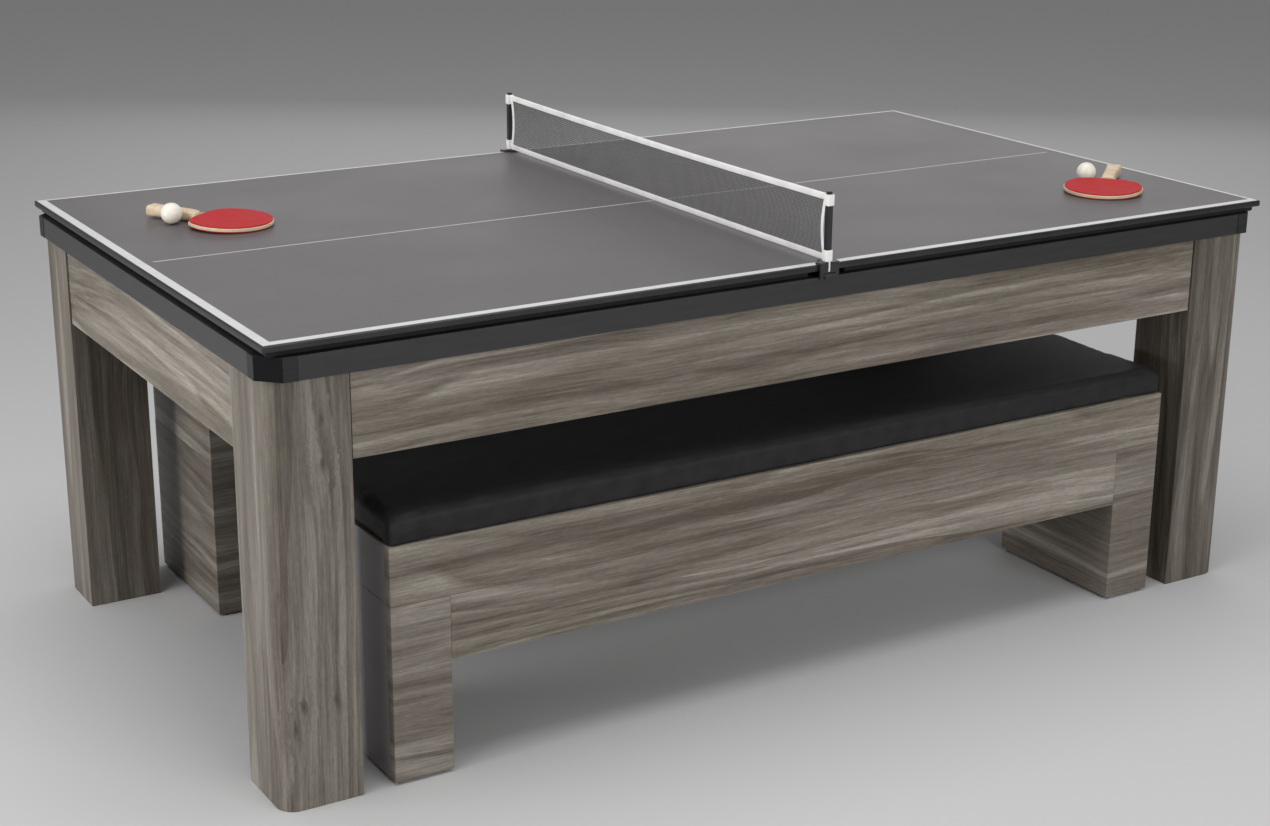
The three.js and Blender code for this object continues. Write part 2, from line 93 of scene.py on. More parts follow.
# ---------------------------------------------------------------- node helpers
class Look:
    """One procedural material and short ways to add and link its nodes."""

    def __init__(self, name, roughness=0.5, **sockets):
        self.material = bpy.data.materials.new(name)
        self.material.use_nodes = True
        self.tree = self.material.node_tree
        self.shader = self.tree.nodes["Principled BSDF"]
        self.set("Roughness", roughness)
        for socket, value in sockets.items():
            self.set(socket.replace("_", " "), value)

    def set(self, socket, value):
        if isinstance(value, bpy.types.NodeSocket):
            self.tree.links.new(value, self.shader.inputs[socket])
        else:
            self.shader.inputs[socket].default_value = value

    def node(self, kind, inputs=(), **settings):
        made = self.tree.nodes.new(kind)
        for key, value in settings.items():
            setattr(made, key, value)
        for key, value in dict(inputs).items():
            if isinstance(value, bpy.types.NodeSocket):
                self.tree.links.new(value, made.inputs[key])
            else:
                made.inputs[key].default_value = value
        return made

    def place(self, scale=(1, 1, 1), offset=(0, 0, 0)):
        """The object's own coordinates in metres, offset and then scaled."""
        source = self.node("ShaderNodeTexCoord").outputs["Object"]
        inputs = {"Vector": source, "Location": offset, "Scale": scale}
        return self.node("ShaderNodeMapping", inputs).outputs["Vector"]

    def noise(self, vector, scale, detail=3.0, roughness=0.55, distortion=0.0):
        inputs = {"Vector": vector, "Scale": scale, "Detail": detail}
        inputs.update({"Roughness": roughness, "Distortion": distortion})
        return self.node("ShaderNodeTexNoise", inputs).outputs["Fac"]

    def voronoi(self, vector, scale, output="Distance", feature="F1"):
        made = self.node("ShaderNodeTexVoronoi", {"Vector": vector, "Scale": scale}, feature=feature)
        return made.outputs[output]

    def math(self, operation, a, b=0.0, clamp=False):
        return self.node("ShaderNodeMath", {0: a, 1: b}, operation=operation, use_clamp=clamp).outputs[0]

    def within(self, value, low, high, soft=0.0004):
        """1 where value is between low and high, with soft edges."""
        rise = self.span(value, low - soft, low + soft)
        fall = self.span(value, high - soft, high + soft, 1.0, 0.0)
        return self.math("MULTIPLY", rise, fall)

    def span(self, value, low, high, to_low=0.0, to_high=1.0):
        inputs = {"Value": value, "From Min": low, "From Max": high, "To Min": to_low, "To Max": to_high}
        return self.node("ShaderNodeMapRange", inputs).outputs["Result"]

    def xyz(self, vector):
        made = self.node("ShaderNodeSeparateXYZ", {"Vector": vector})
        return [made.outputs[axis] for axis in "XYZ"]

    def triple(self, value):
        """The same value on all three channels."""
        return self.node("ShaderNodeCombineXYZ", dict.fromkeys("XYZ", value)).outputs[0]

    def ramp(self, fac, stops):
        made = self.node("ShaderNodeValToRGB", {"Fac": fac})
        made.color_ramp.elements.remove(made.color_ramp.elements[1])
        for index, (at, color) in enumerate(stops):
            elements = made.color_ramp.elements
            element = elements[0] if index == 0 else elements.new(at)
            element.position = at
            element.color = (*color, 1.0)
        return made.outputs["Color"]

    def mix(self, fac, a, b, blend="MIX"):
        made = self.node("ShaderNodeMix", {"Factor": fac}, data_type="RGBA", blend_type=blend)
        for socket, value in zip([s for s in made.inputs if s.type == "RGBA"], (a, b)):
            if isinstance(value, bpy.types.NodeSocket):
                self.tree.links.new(value, socket)
            else:
                socket.default_value = (*value, 1.0)
        return [s for s in made.outputs if s.type == "RGBA"][0]

    def bump(self, height, distance, strength=1.0):
        inputs = {"Height": height, "Distance": distance, "Strength": strength}
        self.set("Normal", self.node("ShaderNodeBump", inputs).outputs["Normal"])


def grey(value):
    return (value, value, value)


# ---------------------------------------------------------------- materials
WOOD_TONES = [
    (0.35, (0.058, 0.046, 0.034)), (0.45, (0.104, 0.086, 0.069)),
    (0.55, (0.152, 0.131, 0.110)), (0.66, (0.232, 0.208, 0.182)),
]
OLIVE = (0.975, 1.0, 0.955)
HEART = (0.040, 0.031, 0.024)
RING_MEAN = 0.45
TONE_SHIFT = -0.245
CHARCOAL = (0.235, 0.215, 0.217)
FELT = (0.10, 0.115, 0.13)
RAIL_TONES = [(0.3, (0.016, 0.0156, 0.0164)), (0.7, (0.024, 0.0233, 0.0242))]
PLY_STEP = 0.0024
THREADS = 260.0
FLOOR_SHADE = 0.5


def wood_look(name, grain, seed, shade=1.0, charcoal_end=None, knots=()):
    """Grey-brown printed wood laminate.

    grain is "up" on a leg and "level" on a board, where the print runs round its upright faces. seed shifts
    the print, shade lightens or darkens it to paint the light each piece gets, and knots are (x, z, radius)
    on the leg's front face.
    """
    look = Look(name, roughness=0.46, Specular_IOR_Level=0.42)
    x, y, z = look.xyz(look.place())
    if grain == "up":
        across, depth, along = x, y, z
    else:
        normal = look.xyz(look.node("ShaderNodeTexCoord").outputs["Normal"])
        lies = look.span(look.math("ABSOLUTE", normal[2]), 0.6, 0.8)
        across = look.math("ADD", z, look.math("MULTIPLY", y, lies))
        along = look.math("ADD", x, look.math("MULTIPLY", y, look.math("SUBTRACT", 1.0, lies)))
        depth = 0.0
    heart = 0.0
    ragged = look.span(look.noise(look.place((1.0, 1.0, 0.4)), 130.0, 3.0), 0.3, 0.7, 0.65, 1.5)
    for knot_x, knot_z, radius in knots:
        aside = look.math("SUBTRACT", across, knot_x)
        ahead = look.math("MULTIPLY", look.math("SUBTRACT", along, knot_z), 0.36)
        squares = look.math("ADD", look.math("MULTIPLY", aside, aside), look.math("MULTIPLY", ahead, ahead))
        far = look.math("DIVIDE", look.math("SQRT", squares), radius)
        far = look.math("MULTIPLY", far, ragged)
        pull = look.span(far, 0.4, 4.0, 0.72, 0.0)
        across = look.math("SUBTRACT", across, look.math("MULTIPLY", aside, pull))
        heart = look.math("MAXIMUM", heart, look.span(far, 0.10, 1.30, 0.86, 0.0))
    base = look.node("ShaderNodeCombineXYZ", {"X": across, "Y": depth, "Z": along}).outputs[0]
    shift = (seed * 1.731, seed * 2.417, seed * 3.193)

    def stretched(vector, wide, long, offset=(0.0, 0.0, 0.0)):
        inputs = {"Vector": vector, "Scale": (wide, wide, long), "Location": offset}
        return look.node("ShaderNodeMapping", inputs).outputs["Vector"]

    wander = look.noise(stretched(base, 3.0, 1.0, shift), 1.0, 2.0)
    aside = look.span(wander, 0.25, 0.75, -0.018, 0.018)
    push = look.node("ShaderNodeCombineXYZ", {"X": aside, "Y": aside}).outputs[0]
    print_ = look.node("ShaderNodeVectorMath", {0: base, 1: push}, operation="ADD").outputs[0]
    broad = look.noise(stretched(print_, 17.0, 0.9, shift), 1.0, 3.0)
    figure = look.noise(stretched(print_, 58.0, 1.6, shift), 1.0, 3.0, 0.6)
    fine = look.noise(stretched(print_, 210.0, 5.0, shift), 1.0, 3.0, 0.7)
    fibre = look.noise(stretched(base, 620.0, 30.0, shift), 1.0, 3.0, 0.75)
    speckle = look.noise(stretched(base, 330.0, 90.0, shift), 1.0, 3.0, 0.7)
    plank = look.voronoi(stretched(print_, 11.0, 0.6, shift), 1.0, "Color")
    plank = look.xyz(plank)[0]
    rise = look.noise(stretched(print_, 5.0, 0.55, shift), 1.0, 1.0, 0.4)
    slope = look.math("MULTIPLY", look.math("ADD", across, depth), 16.0)
    ring = look.math("FRACT", look.math("ADD", look.math("MULTIPLY", rise, 13.0), slope))
    ring = look.math("MULTIPLY", ring, look.span(ring, 0.86, 1.0, 1.0, 0.0))
    ring = look.math("MULTIPLY", look.math("SUBTRACT", ring, RING_MEAN), look.span(broad, 0.42, 0.58))
    ring = look.math("ADD", ring, RING_MEAN)
    layers = [(broad, 0.50), (figure, 0.38), (fine, 0.33), (plank, 0.13), (ring, 0.17)]
    tone = TONE_SHIFT
    for layer, weight in layers:
        tone = look.math("ADD", tone, look.math("MULTIPLY", layer, weight))
    colour = look.ramp(tone, [(at, tuple(shade * c for c in tint)) for at, tint in WOOD_TONES])
    fibre_shade = look.span(fibre, 0.3, 0.7, 0.78, 1.22)
    speckle_shade = look.span(speckle, 0.3, 0.7, 0.88, 1.12)
    grain_shade = look.math("MULTIPLY", fibre_shade, speckle_shade)
    colour = look.mix(1.0, colour, look.triple(grain_shade), "MULTIPLY")
    tint = look.noise(stretched(print_, 26.0, 1.1, shift), 1.0, 2.0)
    colour = look.mix(look.span(tint, 0.40, 0.62), colour, look.mix(1.0, colour, OLIVE, "MULTIPLY"))
    if knots:
        colour = look.mix(heart, colour, HEART)
    if charcoal_end:
        colour = charcoal_over(look, colour, charcoal_end)
    look.set("Base Color", colour)
    look.set("Roughness", look.span(fine, 0.3, 0.7, 0.42, 0.54))
    look.bump(look.math("ADD", fibre, look.math("MULTIPLY", fine, 0.6)), 0.0003, 0.5)
    return look.material


def charcoal_over(look, colour, end):
    """Plain charcoal on the end face at x = end of a bench, with the front board's wood edge left."""
    side = 1.0 if end > 0 else -1.0
    x, y, _ = look.xyz(look.place())
    outside = look.span(look.math("MULTIPLY", x, side), abs(end) - 0.0006, abs(end) - 0.0004)
    strip = look.span(look.math("MULTIPLY", y, side), 0.5595, 0.5605)
    mask = look.math("MULTIPLY", outside, look.math("SUBTRACT", 1.0, strip))
    cloud = look.noise(look.place(), 9.0, 3.0)
    charcoal = look.ramp(cloud, [(0.3, tuple(c * 0.9 for c in CHARCOAL)), (0.7, CHARCOAL)])
    return look.mix(mask, colour, charcoal)


def board_look():
    """Raw particle board, unseen but for the underside."""
    look = Look("raw_board", roughness=0.85)
    chips = look.voronoi(look.place(), 420.0, "Color")
    colour = look.mix(0.35, (0.43, 0.31, 0.19), chips, "OVERLAY")
    look.set("Base Color", colour)
    look.bump(look.noise(look.place(), 300.0), 0.0004, 0.5)
    return look.material


def cloth_look(name, colour):
    """Billiard cloth: short matte nap."""
    look = Look(name, roughness=0.95, Specular_IOR_Level=0.1, Sheen_Weight=0.35, Sheen_Roughness=0.6)
    nap = look.noise(look.place((1.0, 2.4, 1.0)), 900.0, 4.0, 0.7)
    worn = look.noise(look.place(), 7.0, 3.0)
    shade = look.math("ADD", look.span(nap, 0.3, 0.7, 0.78, 1.18), look.span(worn, 0.3, 0.7, -0.06, 0.06))
    look.set("Base Color", look.mix(1.0, colour, look.triple(shade), "MULTIPLY"))
    look.bump(nap, 0.0003, 0.6)
    return look.material


def rail_look(name, shade, gloss_and_shaded_chamfer=False):
    """Black-grey laminate of the rails and caps; shade lightens or darkens each copy to paint the light its
    pieces get, and a cap's chamfer at 45 degrees is glossy and painted near-black as shade.
    """
    look = Look(name, roughness=0.42, Specular_IOR_Level=0.12 if gloss_and_shaded_chamfer else 0.5)
    print_ = look.noise(look.place((6.0, 6.0, 90.0)), 2.0, 4.0)
    colour = look.ramp(print_, [(at, tuple(shade * c for c in tint)) for at, tint in RAIL_TONES])
    roughness = look.span(print_, 0.3, 0.7, 0.40, 0.52)
    if gloss_and_shaded_chamfer:
        nx, ny, _ = look.xyz(look.node("ShaderNodeTexCoord").outputs["Normal"])
        diagonal = look.math("ABSOLUTE", look.math("MULTIPLY", nx, ny))
        chamfer = look.span(diagonal, 0.30, 0.42)
        # painted shade: the chamfer's colour is darkened to near-black by its facing; its lower roughness
        # below is the real gloss
        colour = look.mix(chamfer, colour, (0.005, 0.005, 0.006))
        roughness = look.math("SUBTRACT", roughness, look.math("MULTIPLY", chamfer, 0.26))
    look.set("Base Color", colour)
    look.set("Roughness", roughness)
    look.bump(look.noise(look.place((60.0, 60.0, 900.0)), 1.0, 2.0), 0.0002, 0.4)
    return look.material


def plastic_look(name, colour, roughness, grain=900.0, depth=0.0001, coat=0.0):
    """Moulded plastic: fine texture, small tone changes and uneven gloss."""
    look = Look(name, roughness=roughness, Coat_Weight=coat, Coat_Roughness=0.12)
    cloud = look.noise(look.place(), 18.0, 3.0)
    darker = tuple(c * 0.82 for c in colour)
    lighter = tuple(min(1.0, c * 1.2 + 0.002) for c in colour)
    look.set("Base Color", look.ramp(cloud, [(0.3, darker), (0.7, lighter)]))
    look.set("Roughness", look.span(cloud, 0.3, 0.7, roughness * 0.85, roughness * 1.2))
    look.bump(look.noise(look.place(), grain, 2.0), depth, 0.5)
    return look.material


def top_look():
    """Painted table-tennis top: matte grey, fine orange peel, white border and a thin centre line."""
    look = Look("top_surface", roughness=0.44, Specular_IOR_Level=0.5)
    x, y, z = look.xyz(look.place())

    def least(values):
        low = values[0]
        for value in values[1:]:
            low = look.math("MINIMUM", low, value)
        return low

    from_left, from_right = look.math("ADD", TOP_HALF_X, x), look.math("SUBTRACT", TOP_HALF_X, x)
    from_front, from_rear = look.math("ADD", TOP_HALF_Y, y), look.math("SUBTRACT", TOP_HALF_Y, y)
    edge = least([from_left, from_right, from_front, from_rear])
    wide = [look.math("SUBTRACT", side, WIDE_LINE) for side in (from_left, from_front)]
    narrow = [look.math("SUBTRACT", side, NARROW_LINE) for side in (from_right, from_rear)]
    outside = look.span(least(wide + narrow), -0.0005, 0.0005, 1.0, 0.0)
    border = look.math("MULTIPLY", outside, look.span(edge, LINE_MARGIN - 0.0005, LINE_MARGIN + 0.0005))
    middle = look.within(look.math("ABSOLUTE", y), -0.01, CENTRE_LINE, 0.0004)
    middle = look.math("MULTIPLY", middle, look.span(least([from_left, from_right]), 0.0350, 0.0356))
    up = look.span(z, TABLE_TOP_Z - 0.0012, TABLE_TOP_Z - 0.0008)
    lines = look.math("MULTIPLY", look.math("MAXIMUM", border, look.math("MULTIPLY", middle, 0.95)), up)
    cloud = look.noise(look.place((1.0, 1.4, 1.0)), 2.6, 3.0)
    fleck = look.noise(look.place(), 700.0, 2.0)
    base = look.ramp(cloud, [(0.3, (0.073, 0.064, 0.069)), (0.7, (0.086, 0.077, 0.082))])
    base = look.mix(look.span(fleck, 0.45, 0.75, 0.0, 0.25), base, (0.18, 0.17, 0.17))
    paint = look.ramp(look.noise(look.place(), 30.0, 3.0), [(0.3, grey(0.52)), (0.7, grey(0.57))])
    look.set("Base Color", look.mix(lines, base, paint))
    look.set("Roughness", look.span(cloud, 0.3, 0.7, 0.40, 0.48))
    look.bump(fleck, 0.00025, 0.35)
    return look.material


def foam_look():
    """Closed-cell foam strip: small pores and soft mottling."""
    look = Look("pad_foam", roughness=0.92, Specular_IOR_Level=0.2)
    cells = look.voronoi(look.place(), 900.0)
    look.set("Base Color", look.ramp(cells, [(0.1, grey(0.010)), (0.7, grey(0.020))]))
    look.bump(cells, 0.0005, 0.7)
    return look.material


def leather_look():
    """Black leather-look cover: fine grain, pores and soft wrinkles."""
    look = Look("seat_leather", roughness=0.46, Specular_IOR_Level=0.12)
    cells = look.voronoi(look.place(), 620.0, "Distance", "DISTANCE_TO_EDGE")
    grain = look.span(cells, 0.0, 0.12)
    pores = look.noise(look.place(), 1500.0, 2.0)
    wrinkle = look.noise(look.place((1.0, 2.2, 1.0)), 26.0, 4.0, 0.6)
    tones = [(0.3, (0.0145, 0.0145, 0.0150)), (0.7, (0.0240, 0.0240, 0.0245))]
    look.set("Base Color", look.ramp(wrinkle, tones))
    look.set("Roughness", look.span(pores, 0.3, 0.7, 0.40, 0.54))
    height = look.math("ADD", look.math("MULTIPLY", grain, 0.5), look.math("MULTIPLY", wrinkle, 1.2))
    look.bump(look.math("ADD", height, look.math("MULTIPLY", pores, 0.15)), 0.0005, 0.45)
    return look.material


def webbing_look(name, colour):
    """Woven tape or strand: a fine two-way weave."""
    look = Look(name, roughness=0.8, Sheen_Weight=0.15)
    warp, weft = (
        look.node("ShaderNodeTexWave", {"Vector": look.place(), "Scale": THREADS}, bands_direction=axis)
        for axis in "YZ"
    )
    weave = look.math("MULTIPLY", warp.outputs["Fac"], weft.outputs["Fac"])
    soil = look.noise(look.place(), 24.0, 3.0)
    darker = tuple(c * 0.86 for c in colour)
    look.set("Base Color", look.ramp(soil, [(0.3, darker), (0.62, colour)]))
    look.bump(weave, 0.0003, 0.5)
    return look.material


def rubber_look():
    """Red bat rubber: satin sheet with the pimples' faint print under it."""
    look = Look("bat_rubber", roughness=0.55, Specular_IOR_Level=0.07)
    dots = look.voronoi(look.place(), 480.0)
    scuff = look.noise(look.place(), 40.0, 4.0, 0.65)
    base = look.ramp(scuff, [(0.3, (0.35, 0.012, 0.016)), (0.7, (0.44, 0.018, 0.022))])
    look.set("Base Color", look.mix(look.span(dots, 0.1, 0.5, 0.10, 0.0), base, (0.46, 0.03, 0.03)))
    look.set("Roughness", look.span(scuff, 0.3, 0.7, 0.42, 0.60))
    look.bump(dots, 0.0002, 0.3)
    return look.material


def ply_look(name, layered):
    """Light bat wood; layered shows the blade's plies on its edge."""
    look = Look(name, roughness=0.52)
    grain = look.noise(look.place((60.0, 6.0, 60.0)), 1.0, 4.0, 0.6)
    colour = look.ramp(grain, [(0.3, (0.50, 0.375, 0.24)), (0.7, (0.66, 0.545, 0.39))])
    if layered:
        z = look.xyz(look.place())[2]
        ply = look.math("FRACT", look.math("DIVIDE", z, PLY_STEP))
        colour = look.mix(look.span(ply, 0.42, 0.58, 0.0, 0.30), colour, (0.45, 0.28, 0.15))
    look.set("Base Color", colour)
    look.bump(grain, 0.0002, 0.4)
    return look.material


def ball_look():
    """Ivory-white celluloid with a faint moulding seam round the middle."""
    look = Look("ball_plastic", roughness=0.38, Subsurface_Weight=0.12)
    look.set("Subsurface Radius", (0.01, 0.008, 0.006))
    z = look.xyz(look.place())[2]
    middle = TABLE_TOP_Z + REST_GAP + BALL_R
    seam = look.within(z, middle - 0.0004, middle + 0.0004, 0.0002)
    cloud = look.noise(look.place(), 60.0, 3.0)
    base = look.ramp(cloud, [(0.3, (0.69, 0.65, 0.565)), (0.7, (0.75, 0.72, 0.64))])
    look.set("Base Color", look.mix(look.math("MULTIPLY", seam, 0.35), base, (0.60, 0.55, 0.46)))
    look.bump(look.noise(look.place(), 800.0, 2.0), 0.0001, 0.3)
    return look.material


def floor_look():
    """Plain pale studio floor."""
    look = Look("studio_floor", roughness=0.75, Specular_IOR_Level=0.2)
    look.set("Base Color", (*grey(FLOOR_SHADE), 1.0))
    return look.material


# ---------------------------------------------------------------- mesh helpers
# how strongly large faces set the normals they share, so that flat panels shade flat
FLAT_FACE_WEIGHT = 100


def new_object(name, build, material, smooth_angle=35.0):
    """A mesh object from build(bm), with its material and sharp edges kept above smooth_angle."""
    mesh = bpy.data.meshes.new(name)
    bm = bmesh.new()
    build(bm)
    bmesh.ops.recalc_face_normals(bm, faces=bm.faces)
    bm.to_mesh(mesh)
    bm.free()
    mesh.materials.append(material)
    mesh.shade_smooth()
    mesh.set_sharp_from_angle(angle=math.radians(smooth_angle))
    made = bpy.data.objects.new(name, mesh)
    bpy.context.scene.collection.objects.link(made)
    return made


def add_modifier(obj, kind, **settings):
    made = obj.modifiers.new(kind.lower(), kind)
    for key, value in settings.items():
        setattr(made, key, value)
    return made


def dress(node, material, bevel=0.0, segments=2):
    """A CAD node keeps its shape and gets a material, with small bevels on its sharp edges."""
    obj = NODES[node]
    obj.data.materials.clear()
    obj.data.materials.append(material)
    for polygon in obj.data.polygons:
        polygon.use_smooth = True
    if bevel:
        add_modifier(obj, "WELD", merge_threshold=0.00001)
        add_modifier(obj, "DECIMATE", decimate_type="DISSOLVE", angle_limit=math.radians(0.5))
        add_modifier(
            obj, "BEVEL", width=bevel, segments=segments, limit_method="ANGLE",
            angle_limit=math.radians(40), harden_normals=True,
        )
        add_modifier(obj, "WEIGHTED_NORMAL", weight=FLAT_FACE_WEIGHT, keep_sharp=True)


def ring_tube(bm, rings, caps=True):
    """Skins a list of rings of points; caps closes the two ends."""
    rows = [[bm.verts.new(point) for point in ring] for ring in rings]
    count = len(rows[0])
    for a, b in zip(rows, rows[1:]):
        for i in range(count):
            j = (i + 1) % count
            bm.faces.new((a[i], a[j], b[j], b[i]))
    if caps:
        bm.faces.new(rows[0])
        bm.faces.new(rows[-1][::-1])
    return rows


def rounded_rect(half_a, half_b, radius, steps=4):
    """Points round a rectangle with rounded corners, centred on the origin."""
    points = []
    for quarter, (sa, sb) in enumerate([(1, 1), (-1, 1), (-1, -1), (1, -1)]):
        for step in range(steps + 1):
            angle = math.radians(90 * (quarter + step / steps))
            a = sa * (half_a - radius) + radius * math.cos(angle)
            b = sb * (half_b - radius) + radius * math.sin(angle)
            points.append((a, b))
    return points


# ---------------------------------------------------------------- table and benches
# widths of the bevels on sharp edges
PANEL_BEVEL = 0.0012
RAIL_BEVEL = 0.0004
POCKET_BEVEL = 0.001
BENCH_BEVEL = 0.001
# knots on the front-left leg: how far across its face, how far up it, and the radius
LEG_KNOTS = [
    (0.65, 0.80, 0.007), (0.65, 0.90, 0.005), (0.70, 0.25, 0.005), (0.30, 0.25, 0.006), (0.20, 0.20, 0.006),
]


def knots_on(name, knots):
    """The knots as x, z and radius on the front face of the named piece."""
    low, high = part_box(name)
    wide, tall = high.x - low.x, high.z - low.z
    return [(low.x + across * wide, low.z + up * tall, radius) for across, up, radius in knots]


def dress_table():
    # painted light and shade: the long aprons (1.36), end aprons (1.22) and legs (0.90) are one laminate
    # given different shades for the light each gets
    long_wood = wood_look("laminate_apron", "level", 11.0, 1.36)
    short_wood = wood_look("laminate_end", "level", 17.0, 1.22)
    # painted light and shade: caps (1.35), long rails (0.76) and end rails (1.36) are one black laminate in
    # lit and shaded copies
    cap = rail_look("corner_gloss", 1.35, True)
    shaded_long_rail, lit_end_rail = rail_look("rail_black", 0.76), rail_look("rail_black_end", 1.36)
    felt = cloth_look("bed_cloth", FELT)
    pocket = plastic_look("pocket_black", (0.018, 0.018, 0.018), 0.5)
    leg_wood = wood_look("laminate_leg", "up", 3.0, 0.90)
    knots = knots_on("leg_front_left", LEG_KNOTS)
    knotty = wood_look("laminate_leg_front_left", "up", 3.4, 0.90, knots=knots)
    for corner in ("front_left", "front_right", "rear_left", "rear_right"):
        dress(f"leg_{corner}", knotty if corner == "front_left" else leg_wood, PANEL_BEVEL)
        dress(f"corner_cap_{corner}", cap, 0.0006, 3)
        dress(f"pocket_{corner}", pocket, POCKET_BEVEL)
    for side in ("front", "rear"):
        dress(f"apron_{side}", long_wood, PANEL_BEVEL)
        dress(f"rail_{side}", shaded_long_rail, RAIL_BEVEL)
        dress(f"pocket_{side}_side", pocket, POCKET_BEVEL)
    for side in ("left", "right"):
        dress(f"apron_{side}", short_wood, PANEL_BEVEL)
        dress(f"rail_{side}", lit_end_rail, RAIL_BEVEL)
    dress("bed", felt, 0.0008)
    dress("bed_beam", board_look(), 0.001)


def dress_tennis_top():
    surface = top_look()
    for side in ("left", "right"):
        dress(f"tennis_top_{side}", surface)


def dress_benches():
    raw = board_look()
    for side, turn in (("front", -1.0), ("rear", 1.0)):
        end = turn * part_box(f"bench_{side}_frame")[1].x
        # painted shade: the rear bench is 0.72 times as light as the front one, and frame with boards (1.30)
        # and legs (1.10) are one laminate in two shades, for the light each gets
        seed, lift = (23.0, 1.0) if side == "front" else (31.0, 0.72)
        upper = wood_look(f"laminate_bench_{side}_frame", "level", seed, 1.30 * lift, end)
        lower = wood_look(f"laminate_bench_{side}_legs", "level", seed + 1, 1.10 * lift, end)
        dress(f"bench_{side}_frame", upper, BENCH_BEVEL)
        for end_name in ("left", "right"):
            dress(f"bench_{side}_leg_{end_name}", lower, BENCH_BEVEL)
        for place in ("outer", "inner"):
            dress(f"bench_{side}_board_{place}", upper, BENCH_BEVEL)
        dress(f"bench_{side}_lid", raw)


# ---------------------------------------------------------------- rail cushions
# the section of a rail cushion, as shares of its depth from the rail and of its height, nose last but one
CUSHION_SECTION = [(0.0, 0.0), (0.45, 0.0), (1.0, 0.76), (1.0, 0.92), (0.0, 1.0)]
NOSE_ROUNDING = 0.0022


def rounded_outline(corners, radius, steps=4):
    """A closed outline through the corners, each rounded by a small curve of the given radius."""
    points = []
    count = len(corners)
    for index, corner in enumerate(corners):
        before, after = corners[index - 1], corners[(index + 1) % count]
        start = corner + (before - corner).normalized() * radius
        stop = corner + (after - corner).normalized() * radius
        for step in range(steps + 1):
            t = step / steps
            points.append(start * (1 - t) ** 2 + corner * (2 * t * (1 - t)) + stop * t ** 2)
    return points


def make_rail_cushions():
    """Rubber rail cushions in cloth: mitred ends and a rounded nose."""
    felt = cloth_look("cushion_cloth", FELT)
    corner_slant, side_slant = 1.0, 0.3
    runs = []
    for side, turn in (("front", -1), ("rear", 1)):
        runs += [(f"{side}_{end}", turn, end) for end in ("left", "right")]
    runs += [("left", -1, ""), ("right", 1, "")]
    for name, turn, end in runs:
        low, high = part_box(f"cushion_{name}")
        lengthwise = 0 if end else 1
        crosswise = 1 - lengthwise
        deep, tall = high[crosswise] - low[crosswise], high.z - low.z
        back = high[crosswise] if turn > 0 else low[crosswise]
        corners = [Vector((depth * deep, up * tall)) for depth, up in CUSHION_SECTION]
        section = rounded_outline(corners, NOSE_ROUNDING)
        slants = {"left": (corner_slant, side_slant), "right": (side_slant, corner_slant)}
        slant_low, slant_high = slants.get(end, (corner_slant, corner_slant))

        def build(bm, low=low, high=high, back=back, turn=turn, section=section,
                  slant_low=slant_low, slant_high=slant_high, lengthwise=lengthwise, crosswise=crosswise):
            rings = []
            steps = 24
            for step in range(steps + 1):
                share = step / steps
                ring = []
                for depth, up in section:
                    first = low[lengthwise] + slant_low * depth
                    last = high[lengthwise] - slant_high * depth
                    point = [0.0, 0.0, low.z + up]
                    point[lengthwise] = first + (last - first) * share
                    point[crosswise] = back - turn * depth
                    ring.append(Vector(point))
                rings.append(ring)
            ring_tube(bm, rings)

        piece = new_object(f"rail_cushion_{name}", build, felt, 50.0)
        limit = math.radians(50)
        add_modifier(piece, "BEVEL", width=0.0012, segments=2, limit_method="ANGLE", angle_limit=limit)
        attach(piece, "table")
        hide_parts(f"cushion_{name}")


# ---------------------------------------------------------------- edge bands and pads of the top
BAND_THICK = 0.0025
BAND_ROUNDING = 0.0019
PAD_WIDE = 0.028


def wrap_half(bm, turn, half_x, half_y, stop, profile):
    """A profile of (out, z) points swept round three sides of a half of the top, seam to seam.

    out is measured outwards from the rectangle half_x by half_y, and the two ends are stop from the seam.
    """
    path = [
        (-stop, -half_y, 0, -1), (-half_x, -half_y, -1, -1),
        (-half_x, half_y, -1, 1), (-stop, half_y, 0, 1),
    ]
    rings = []
    for x, y, out_x, out_y in path:
        ring = [Vector((turn * (x + out_x * out), turn * (y + out_y * out), z)) for out, z in profile]
        rings.append(ring)
    ring_tube(bm, rings)


def make_bands():
    """The black moulded edge round three sides of each half: a flat face with rounded edges."""
    material = plastic_look("edge_band", (0.009, 0.009, 0.010), 0.32, coat=0.05)
    low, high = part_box("top_band_left")
    r = BAND_ROUNDING
    profile = [(0.0, low.z)]
    for centre_z, start in ((low.z + r, -90), (high.z - r, 0)):
        for step in range(5):
            angle = math.radians(start + 22.5 * step)
            profile.append((BAND_THICK - r + r * math.cos(angle), centre_z + r * math.sin(angle)))
    profile.append((0.0, high.z))
    for side, turn in (("left", 1.0), ("right", -1.0)):
        def build(bm, turn=turn):
            wrap_half(bm, turn, TOP_HALF_X - BAND_THICK, TOP_HALF_Y - BAND_THICK, 0.0004, profile)

        piece = new_object(f"edge_band_{side}", build, material, 50.0)
        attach(piece, "tennis_top")
        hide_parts(f"top_band_{side}")


